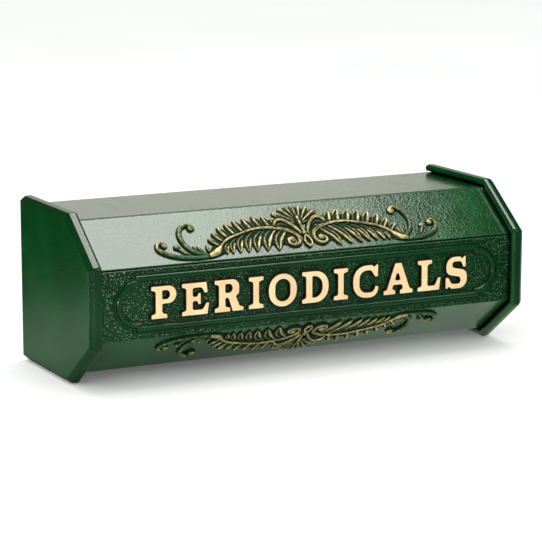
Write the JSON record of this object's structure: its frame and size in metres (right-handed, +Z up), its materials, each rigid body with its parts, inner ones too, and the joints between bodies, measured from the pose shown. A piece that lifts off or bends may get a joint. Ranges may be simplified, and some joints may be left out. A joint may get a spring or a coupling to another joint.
{
  "type": "wall-mounted newspaper box",
  "caption": "Cast, five-sided wall box for rolled newspapers: a long shell between rimmed end plates, with raised lettering, gilt scrollwork and a lift-up flap.",
  "frame": {"origin": "centre of the back face, on the wall", "axes": "+X to the right along the box's length, -Y out of the wall towards the front, +Z up"},
  "size_m": [0.43, 0.16, 0.15],
  "materials": {
    "green_paint": "deep green gloss paint over cast aluminium",
    "cream_paint": "pale gold-cream gloss paint over cast aluminium",
    "gilt_green": "green paint with gold brushed over the high places, over cast aluminium",
    "steel": "zinc-plated steel",
    "nylon": "natural nylon",
    "rubber": "black moulded rubber"
  },
  "bodies": {
    "box": {"back_plate": "green_paint", "top_panel": "green_paint", "front_shell": "green_paint", "front_moulding": "green_paint", "raised_letters": "cream_paint", "lower_scrollwork": "gilt_green", "end_plate_left": "green_paint", "end_plate_right": "green_paint", "flap_bumpers": "rubber", "hinge_pin_left": "steel", "hinge_pin_right": "steel", "hinge_washer_left": "nylon", "hinge_washer_right": "nylon", "end_screws_left": "steel", "end_screws_right": "steel", "end_washers_left": "steel", "end_washers_right": "steel", "back_screws": "steel"},
    "flap": {"flap": "green_paint", "flap_scrollwork": "gilt_green"}
  },
  "joints": [
    {"name": "flap_hinge", "type": "hinge", "parent": "box", "child": "flap", "pos_m": [0, -0.10171, 0.062], "axis": [-1, 0, 0], "range_deg": [0, 90]}
  ]
}
